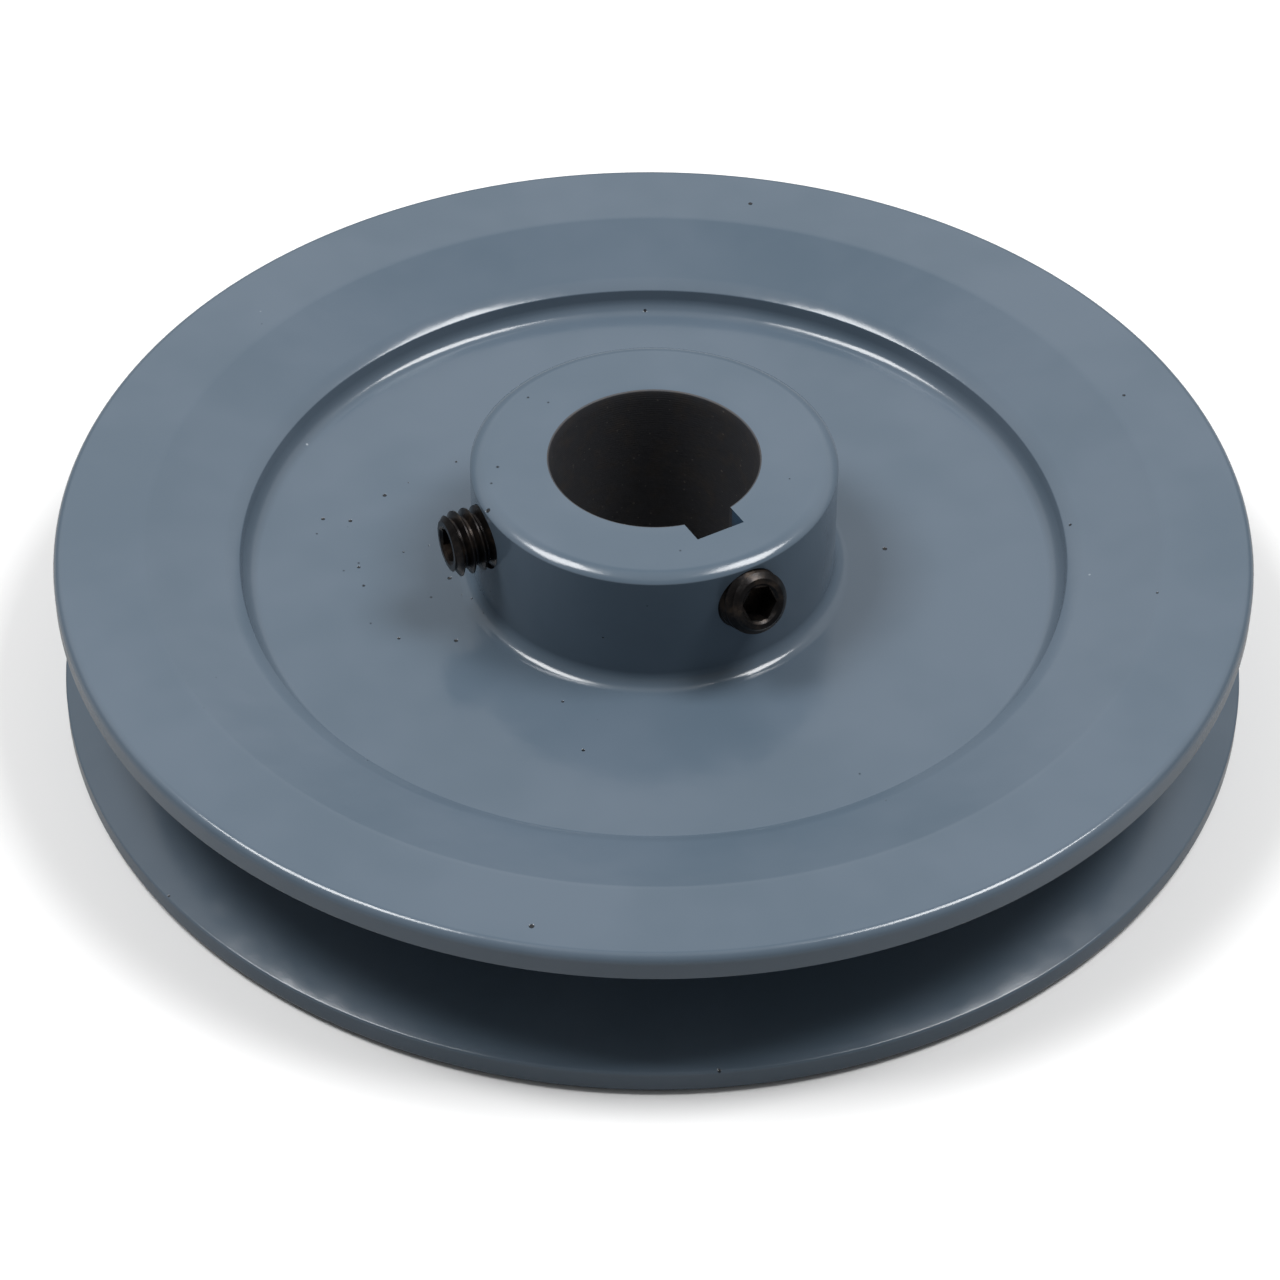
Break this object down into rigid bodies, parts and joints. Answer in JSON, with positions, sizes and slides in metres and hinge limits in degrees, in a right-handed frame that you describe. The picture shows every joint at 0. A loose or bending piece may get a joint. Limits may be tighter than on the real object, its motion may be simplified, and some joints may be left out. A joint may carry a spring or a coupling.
{
  "type": "v-belt pulley",
  "caption": "V-belt pulley: a wide rim with one 34 degree belt groove, a recessed web, and a bored and keyed hub on one side with set screws.",
  "frame": {"origin": "on the bore's axis, in the plane of the rim's rear side face", "axes": "+Z along the bore towards the projecting hub end, -Y through the middle of the keyway"},
  "size_m": [0.146, 0.146, 0.0327],
  "materials": {
    "enamelled_cast_iron": "gloss blue-grey enamel over cast iron, with the bore and keyway bare",
    "black_oxide_steel": "black oxide, lightly oiled"
  },
  "bodies": {
    "pulley": {"sheave": "enamelled_cast_iron"},
    "keyway_screw": {"keyway_set_screw": "black_oxide_steel"},
    "side_screw": {"side_set_screw": "black_oxide_steel"}
  },
  "joints": [
    {"name": "keyway_screw_travel", "type": "slide", "parent": "pulley", "child": "keyway_screw", "axis": [0, -0.9272, 0.3746], "range_m": [-0.00138, 0.00363]},
    {"name": "side_screw_travel", "type": "slide", "parent": "pulley", "child": "side_screw", "axis": [-0.9903, 0.1392, 0], "range_m": [-0.00619, 0.00193]}
  ]
}
